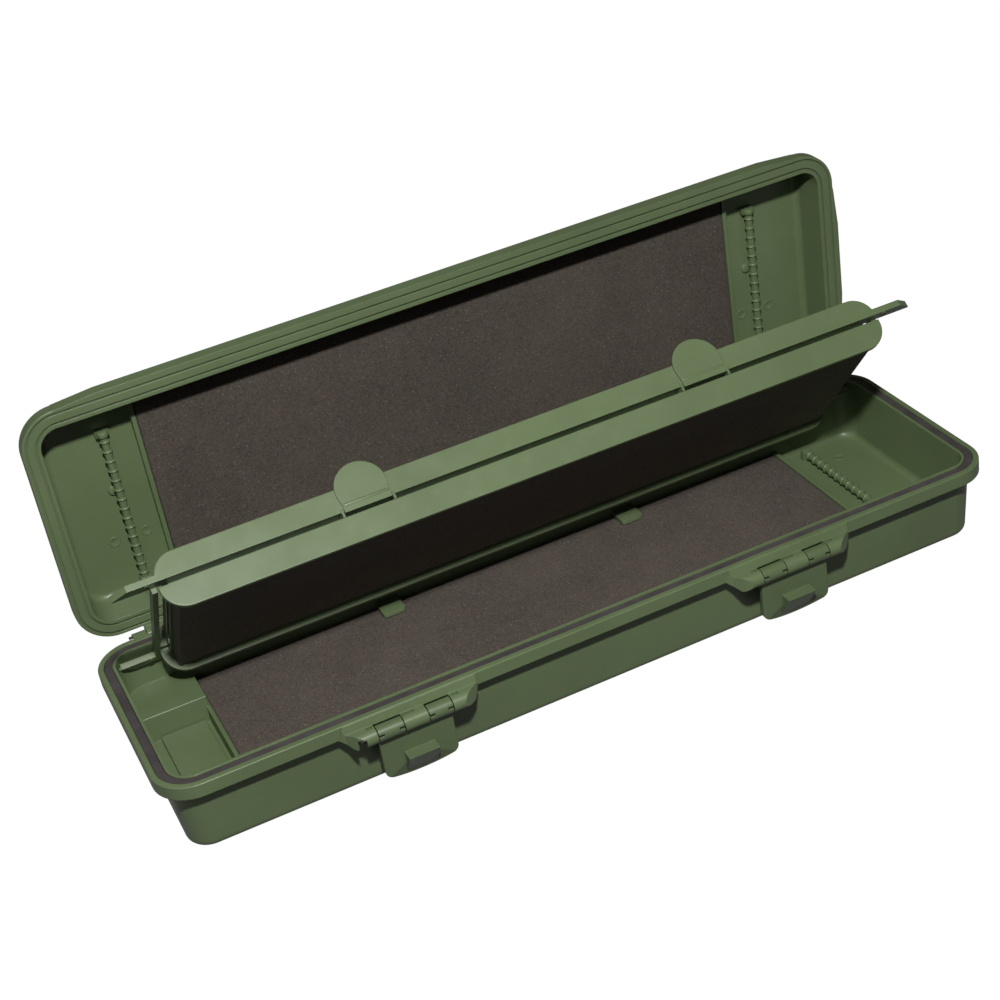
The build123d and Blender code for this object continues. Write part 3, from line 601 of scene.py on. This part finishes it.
def rod_tree():
    """Geometry nodes for a rod along Y: a core, rings at an even pitch and a neck at each end."""
    tree = bpy.data.node_groups.new("ringed_rod", "GeometryNodeTree")
    face = tree.interface
    face.new_socket("Geometry", in_out="OUTPUT", socket_type="NodeSocketGeometry")
    for name in ("Length", "Core Diameter", "Ring Diameter", "Ring Width", "Ring Pitch",
                 "Neck Length", "Neck Diameter"):
        face.new_socket(name, in_out="INPUT", socket_type="NodeSocketFloat")
    face.new_socket("Material", in_out="INPUT", socket_type="NodeSocketMaterial")
    nodes, links = tree.nodes, tree.links

    def node(kind, inputs=None, **settings):
        """Adds a node with its settings and the values or links of its sockets."""
        made = nodes.new(kind)
        for name, value in settings.items():
            setattr(made, name, value)
        for key, value in (inputs or {}).items():
            if isinstance(value, bpy.types.NodeSocket):
                links.new(value, made.inputs[key])
            else:
                made.inputs[key].default_value = value
        return made

    given = nodes.new("NodeGroupInput").outputs

    def maths(operation, first, second=0.0):
        return node("ShaderNodeMath", {0: first, 1: second}, operation=operation).outputs[0]

    def times(first, second):
        return maths("MULTIPLY", first, second)

    def plus(first, second):
        return maths("ADD", first, second)

    def line(half):
        """A line along Y, a length either side of the middle."""
        start = node("ShaderNodeCombineXYZ", {"Y": times(half, -1.0)}).outputs[0]
        end = node("ShaderNodeCombineXYZ", {"Y": half}).outputs[0]
        return node("GeometryNodeCurvePrimitiveLine", {"Start": start, "End": end}).outputs[0]

    def bar(half, diameter, steps):
        """A round bar along Y."""
        profile = node("GeometryNodeCurvePrimitiveCircle",
                       {"Resolution": steps, "Radius": times(diameter, 0.5)}).outputs[0]
        return node("GeometryNodeCurveToMesh",
                    {"Curve": line(half), "Profile Curve": profile, "Fill Caps": True}).outputs[0]

    half = times(given["Length"], 0.5)
    core = bar(half, given["Core Diameter"], 28)
    neck = bar(plus(half, given["Neck Length"]), given["Neck Diameter"], 20)

    # One ring: a circle swept with a rounded section, stretched to its width
    height = times(plus(given["Ring Diameter"], times(given["Core Diameter"], -1.0)), 0.5)
    sweep = node("GeometryNodeCurvePrimitiveCircle",
                 {"Resolution": 32, "Radius": times(given["Core Diameter"], 0.5)}).outputs[0]
    section = node("GeometryNodeCurvePrimitiveCircle",
                   {"Resolution": 12, "Radius": height}).outputs[0]
    ring = node("GeometryNodeCurveToMesh", {"Curve": sweep, "Profile Curve": section}).outputs[0]
    widen = maths("DIVIDE", times(given["Ring Width"], 0.5), height)
    stretch = node("ShaderNodeCombineXYZ", {"X": 1.0, "Y": 1.0, "Z": widen}).outputs[0]
    ring = node("GeometryNodeTransform", {"Geometry": ring, "Scale": stretch,
                                          "Rotation": (pi / 2, 0.0, 0.0)}).outputs[0]

    # Where the rings sit: whole pitches either side of the middle
    room = plus(given["Length"], times(given["Ring Width"], -1.0))
    count = maths("FLOOR", maths("DIVIDE", room, given["Ring Pitch"]))
    first = times(times(count, given["Ring Pitch"]), -0.5)
    start = node("ShaderNodeCombineXYZ", {"Y": first}).outputs[0]
    step = node("ShaderNodeCombineXYZ", {"Y": given["Ring Pitch"]}).outputs[0]
    places = node("GeometryNodeMeshLine",
                  {"Count": plus(count, 1.0), "Start Location": start, "Offset": step},
                  mode="OFFSET").outputs[0]
    rings = node("GeometryNodeInstanceOnPoints", {"Points": places, "Instance": ring}).outputs[0]
    joined = node("GeometryNodeJoinGeometry")
    for part in (core, neck, rings):
        links.new(part, joined.inputs[0])
    real = node("GeometryNodeRealizeInstances", {"Geometry": joined.outputs[0]}).outputs[0]
    done = node("GeometryNodeSetMaterial",
                {"Geometry": real, "Material": given["Material"]}).outputs[0]
    links.new(done, nodes.new("NodeGroupOutput").inputs[0])
    return tree


def grown_mesh(name, tree, values, place):
    """The plain mesh that a geometry node tree gives for some values, in its place."""
    holder = bpy.data.objects.new(name, bpy.data.meshes.new(name))
    bpy.context.scene.collection.objects.link(holder)
    modifier = holder.modifiers.new("shape", "NODES")
    modifier.node_group = tree
    for item in tree.interface.items_tree:
        if item.item_type == "SOCKET" and item.in_out == "INPUT" and item.name in values:
            modifier[item.identifier] = values[item.name]
    shaped = holder.evaluated_get(bpy.context.evaluated_depsgraph_get())
    mesh = bpy.data.meshes.new_from_object(shaped)
    mesh.name = name
    bpy.data.objects.remove(holder)
    mesh.transform(place)
    return mesh


def add_rod_cap(mesh, place, near, sizes):
    """Joins a round-edged cap to the top end of a rod."""
    far = near + sizes.cap_length
    radius = sizes.cap_size / 2
    edge = sizes.cap_edge
    bow = 0.3 * edge
    profile = ((0.0, near), (radius - edge, near), (radius - bow, near + bow),
               (radius, near + edge), (radius, far - edge), (radius - bow, far - bow),
               (radius - edge, far), (0.0, far))
    bm = bmesh.new()
    lathe(bm, profile, place @ facing((0, -1, 0)))
    bmesh.ops.recalc_face_normals(bm, faces=bm.faces)
    bm.from_mesh(mesh)
    bm.to_mesh(mesh)
    bm.free()


class RIGBOX_OT_rods(bpy.types.Operator):
    """Makes the ringed rods that rig loops hook over"""

    bl_idname = "rigbox.rods"
    bl_label = "Ringed Rods"

    def execute(self, context):
        sizes = context.scene.rig_box_sizes
        plastic = bpy.data.materials["moulded_plastic"]
        tree = rod_tree()
        values = {
            "Core Diameter": sizes.rod_core, "Ring Diameter": sizes.ring_outside,
            "Ring Width": sizes.ring_width, "Ring Pitch": sizes.ring_pitch,
            "Neck Length": sizes.rod_tail, "Neck Diameter": sizes.rod_neck, "Material": plastic,
        }
        rods = (
            ("base_rod", "base", STILL, sizes.base_rod_length),
            ("lid_rod_left", "lid", LID_OPEN, sizes.lid_rod_length),
            ("lid_rod_right", "lid", LID_OPEN, sizes.lid_rod_length),
        )
        for node, body, opened, length in rods:
            # The rod ends one tail short of its node's back face
            low, high = node_box(node, opened)
            middle = (low + high) / 2
            middle.y = high.y - sizes.rod_tail - length / 2
            place = opened @ Matrix.Translation(middle)
            mesh = grown_mesh(node + "_rings", tree, {"Length": length, **values}, place)
            if body == "lid":
                add_rod_cap(mesh, place, length / 2, sizes)
            new_piece(node + "_rings", mesh, body, plastic, 40, (node,))
        return {"FINISHED"}


# Moulded marks and small parts

def facing(direction):
    """A turn that takes +Z to a direction."""
    return Vector((0, 0, 1)).rotation_difference(Vector(direction)).to_matrix().to_4x4()


def hung_from(x, y, z):
    """A place under a ceiling, with its height pointing down; x and y are in millimetres."""
    return Matrix.Translation((x * MM, y * MM, z)) @ facing((0, 0, -1))


def round_mark(bm, place, radius, proud):
    """A low ring with a shallow dish, as an ejector pin leaves, sunk a little into its wall."""
    sunk = -0.3 * MM
    dish = 0.3 * proud
    profile = ((0.0, sunk), (radius, sunk), (radius, 0.6 * proud), (radius - 0.15 * MM, proud),
               (radius - 0.45 * MM, proud), (radius - 0.65 * MM, dish), (0.0, dish))
    lathe(bm, profile, place, 40)


def stud(bm, place, radius, height):
    """A small round stud with a rounded edge, sunk a little into its wall."""
    sunk = -0.4 * MM
    edge = 0.35 * min(radius, height)
    bow = 0.3 * edge
    profile = ((0.0, sunk), (radius, sunk), (radius, height - edge),
               (radius - bow, height - bow), (radius - edge, height), (0.0, height))
    lathe(bm, profile, place, 32)


def plastic_piece(name, bm, body, opened, sharp):
    """Links a small moulded form as a piece of its own."""
    mesh = mesh_from(name, bm, opened)
    plastic = bpy.data.materials["moulded_plastic"]
    new_piece(name, mesh, body, plastic, sharp)


class RIGBOX_OT_marks(bpy.types.Operator):
    """Adds the mould marks and the bosses beside the rods"""

    bl_idname = "rigbox.marks"
    bl_label = "Moulded Marks"

    def execute(self, context):
        sizes = context.scene.rig_box_sizes
        radius = sizes.mark_size / 2
        ceiling = node_box("lid_foam", LID_OPEN)[1].z

        # Ejector marks inside the lid, beside the rods
        bm = bmesh.new()
        for x, y in LID_MARKS:
            round_mark(bm, hung_from(x, y, ceiling), radius, sizes.mark_proud)
        plastic_piece("lid_marks", bm, "lid", LID_OPEN, 40)

        # Ejector marks on the floor of the right pocket
        bm = bmesh.new()
        for x, y in POCKET_MARKS:
            place = Matrix.Translation((x * MM, y * MM, POCKET_FLOOR * MM))
            round_mark(bm, place, radius, sizes.mark_proud)
        plastic_piece("base_marks", bm, "base", STILL, 40)

        # A low round boss half way along each rod of the lid
        bm = bmesh.new()
        for x, y in LID_BOSSES:
            stud(bm, hung_from(x, y, ceiling), sizes.boss_size / 2, sizes.boss_height)
        plastic_piece("rod_bosses", bm, "lid", LID_OPEN, 40)
        return {"FINISHED"}


class RIGBOX_OT_board(bpy.types.Operator):
    """Adds the small forms of the flip board"""

    bl_idname = "rigbox.board"
    bl_label = "Board Details"

    def execute(self, context):
        sizes = context.scene.rig_box_sizes
        seam = joint_axis("board_hinge").z + SEAM_RISE * MM
        edge = node_box("board_back_tray", BOARD_OPEN)[0].y

        # The rolled foot of each thumb tab, over the seam
        bm = bmesh.new()
        half = sizes.tab_roll_width / 2
        (bottom, top), (front, back) = TAB_ROLL_HEIGHTS, TAB_ROLL_REACH
        for node in THUMB_TABS:
            low, high = node_box(node, BOARD_OPEN)
            middle = (low.x + high.x) / 2
            rounded_box(bm, (middle - half, low.y + front * MM, seam + bottom * MM),
                        (middle + half, low.y + back * MM, seam + top * MM),
                        sizes.tab_roll_radius, 4)
        plastic_piece("tab_rolls", bm, "board", BOARD_OPEN, 50)

        # Oval marks under the ears
        bm = bmesh.new()
        oval = Matrix.Diagonal((1.6, 1.0, 1.0, 1.0))
        for side in (-1, 1):
            for x, back, rise in EAR_MARKS:
                place = hung_from(side * x, edge / MM + back, seam + rise * MM)
                round_mark(bm, place @ oval, sizes.ear_mark_size / 2, sizes.ear_mark_proud)
        plastic_piece("ear_marks", bm, "board", BOARD_OPEN, 50)
        return {"FINISHED"}


class RIGBOX_OT_finish(bpy.types.Operator):
    """Gives every moulded part and pin its material"""

    bl_idname = "rigbox.finish"
    bl_label = "Finishes"

    def execute(self, context):
        finish = context.scene.rig_box_finish
        by_slot = {
            "olive_plastic": moulded_plastic(finish, "moulded_plastic", 1.0),
            "dark_rubber": soft_seal(finish),
            "steel": pin_steel(finish),
        }
        # The latches take a darker copy of the plastic: painted shade for the shadow under their barrels
        latch_plastic_painted_shade = moulded_plastic(finish, "latch_plastic_painted_shade", finish.latch_painted_shade)
        slots = {part["node"]: part["material_slot"] for part in FRAME["record"]["subparts"]}
        for node, part in FRAME["nodes"].items():
            material = latch_plastic_painted_shade if node in LATCHES else by_slot.get(slots[node])
            if material is None:
                continue
            if not part.material_slots:
                part.data.materials.append(material)
            for slot in part.material_slots:
                slot.material = material
        return {"FINISHED"}


# Stage

def camera_sight(recipe, in_gloss):
    """1 for a ray from the camera, in_gloss for one from a glossy surface, and 0 for the rest."""
    path = recipe.add("ShaderNodeLightPath", output="Is Camera Ray")
    return path + Value(recipe, path.socket.node.outputs["Is Glossy Ray"]) * in_gloss


def white_floor(stage):
    """A dark floor that glows white to the camera, so it throws no light up under the box."""
    recipe = Recipe("white_floor")
    seen = camera_sight(recipe, stage.floor_in_gloss)
    base = recipe.add("ShaderNodeBsdfDiffuse", None, {"Color": (0.05, 0.05, 0.05, 1.0)})
    glow = recipe.add("ShaderNodeEmission", None, {
        "Color": (1.0, 1.0, 1.0, 1.0), "Strength": seen * stage.floor_glow})
    recipe.add_output(recipe.add("ShaderNodeAddShader", None, (base, glow)))
    return recipe.material


def set_world(stage):
    """A world that is white to the camera and lights the box faintly from all round."""
    world = bpy.data.worlds.new("studio")
    bpy.context.scene.world = world
    world.use_nodes = True
    tree = world.node_tree
    tree.nodes.clear()
    path = tree.nodes.new("ShaderNodeLightPath")
    strength = tree.nodes.new("ShaderNodeMix")
    strength.data_type = "FLOAT"
    tree.links.new(path.outputs["Is Camera Ray"], strength.inputs[0])
    strength.inputs[2].default_value = stage.sky
    strength.inputs[3].default_value = 1.0
    background = tree.nodes.new("ShaderNodeBackground")
    background.inputs["Color"].default_value = (1.0, 1.0, 1.0, 1.0)
    tree.links.new(strength.outputs[0], background.inputs["Strength"])
    out = tree.nodes.new("ShaderNodeOutputWorld")
    tree.links.new(background.outputs[0], out.inputs["Surface"])


def add_lamp(name, place, aim, power, size):
    """Hangs a round lamp that looks at a point."""
    lamp = bpy.data.lights.new(name, "AREA")
    lamp.energy = power
    lamp.shape = "DISK"
    lamp.size = size
    holder = bpy.data.objects.new(name, lamp)
    holder.location = place
    holder.rotation_euler = (Vector(aim) - Vector(place)).to_track_quat("-Z", "Y").to_euler()
    bpy.context.scene.collection.objects.link(holder)


def add_camera(stage):
    """Stands the camera where the photo was taken from."""
    camera = bpy.data.cameras.new("camera")
    camera.sensor_width = 36.0
    camera.lens = stage.camera_lens
    camera.clip_start = 0.01
    holder = bpy.data.objects.new("camera", camera)
    holder.location = stage.camera_place
    holder.rotation_euler = stage.camera_turn
    bpy.context.scene.collection.objects.link(holder)
    bpy.context.scene.camera = holder


class RIGBOX_OT_stage(bpy.types.Operator):
    """Sets up the floor, the lamps and the camera"""

    bl_idname = "rigbox.stage"
    bl_label = "Stage"

    def execute(self, context):
        stage = context.scene.rig_box_stage
        bm = bmesh.new()
        bmesh.ops.create_circle(bm, cap_ends=True, segments=96, radius=stage.floor_radius)
        height = CAD_BOX[0].z - stage.floor_drop
        mesh = mesh_from("floor", bm, Matrix.Translation((0, 0, height)))
        floor = bpy.data.objects.new("floor", mesh)
        floor.data.materials.append(white_floor(stage))
        bpy.context.scene.collection.objects.link(floor)
        set_world(stage)
        add_lamp("key", stage.key_place, stage.lamp_aim, stage.key_power, stage.key_size)
        add_lamp("fill", stage.fill_place, stage.lamp_aim, stage.fill_power, stage.fill_size)
        add_camera(stage)
        bpy.context.scene.view_settings.view_transform = "Standard"
        return {"FINISHED"}


class RIGBOX_PT_panel(bpy.types.Panel):
    """Lists the steps and the sizes"""

    bl_idname = "RIGBOX_PT_panel"
    bl_label = "Rig Box"
    bl_space_type = "VIEW_3D"
    bl_region_type = "UI"
    bl_category = "Rig Box"

    def draw(self, context):
        layout = self.layout
        for step in STEPS:
            layout.operator(step.bl_idname)
        scene = context.scene
        for group in (scene.rig_box_sizes, scene.rig_box_finish, scene.rig_box_stage):
            box = layout.box()
            for name in group.__annotations__:
                box.prop(group, name)


STEPS = (RIGBOX_OT_finish, RIGBOX_OT_foam, RIGBOX_OT_rods, RIGBOX_OT_marks, RIGBOX_OT_board,
         RIGBOX_OT_stage)
GROUPS = (RigBoxSizes, RigBoxFinish, RigBoxStage)


def register():
    for item in (*GROUPS, *STEPS, RIGBOX_PT_panel):
        bpy.utils.register_class(item)
    bpy.types.Scene.rig_box_sizes = PointerProperty(type=RigBoxSizes)
    bpy.types.Scene.rig_box_finish = PointerProperty(type=RigBoxFinish)
    bpy.types.Scene.rig_box_stage = PointerProperty(type=RigBoxStage)


def unregister():
    del bpy.types.Scene.rig_box_stage
    del bpy.types.Scene.rig_box_finish
    del bpy.types.Scene.rig_box_sizes
    for item in reversed((*GROUPS, *STEPS, RIGBOX_PT_panel)):
        bpy.utils.unregister_class(item)


def main():
    """Builds the dressed box."""
    register()
    bpy.ops.rigbox.finish()
    bpy.ops.rigbox.foam()
    bpy.ops.rigbox.rods()
    bpy.ops.rigbox.marks()
    bpy.ops.rigbox.board()
    bpy.ops.rigbox.stage()


if __name__ == "__main__":
    main()
